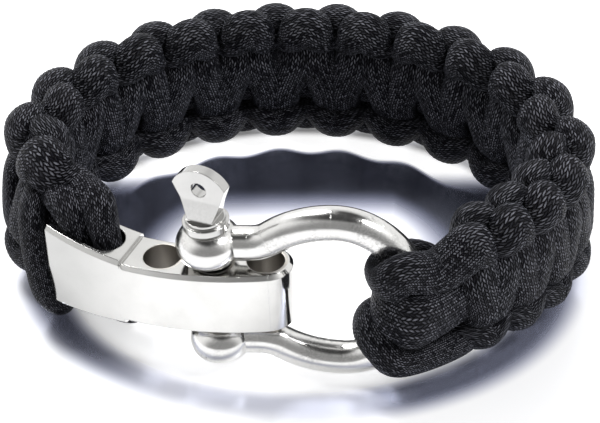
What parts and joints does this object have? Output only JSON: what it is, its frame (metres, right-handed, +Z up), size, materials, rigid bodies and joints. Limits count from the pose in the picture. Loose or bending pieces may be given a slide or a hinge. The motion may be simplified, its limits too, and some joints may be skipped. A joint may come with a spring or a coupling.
{
  "type": "paracord bracelet",
  "caption": "Black woven paracord bracelet lying on its side, closed by a steel adjuster bar, a bow shackle and a screw pin.",
  "frame": {"origin": "on the floor under the middle of the bracelet's box, with the bracelet lying on its side", "axes": "+X along the clasp from the adjuster bar to the shackle's crown, +Y from the clasp to the back of the band, +Z up"},
  "size_m": [0.0828, 0.0666, 0.0313],
  "materials": {
    "cord": "matte braided nylon",
    "polished_steel": "polished",
    "cast_steel": "satin cast"
  },
  "bodies": {
    "bracelet": {"woven_band": "cord", "crown_loops": "cord", "slot_loops": "cord", "adjuster_bar": "polished_steel", "bow_shackle": "cast_steel"},
    "pin": {"screw_pin": "polished_steel"}
  },
  "joints": [
    {"name": "pin_turn", "type": "hinge", "parent": "bracelet", "child": "pin", "pos_m": [-0.01064, -0.02477, 0.01212], "axis": [-0.0779, 0.0096, 0.9969], "range_deg": [0, 180]}
  ]
}
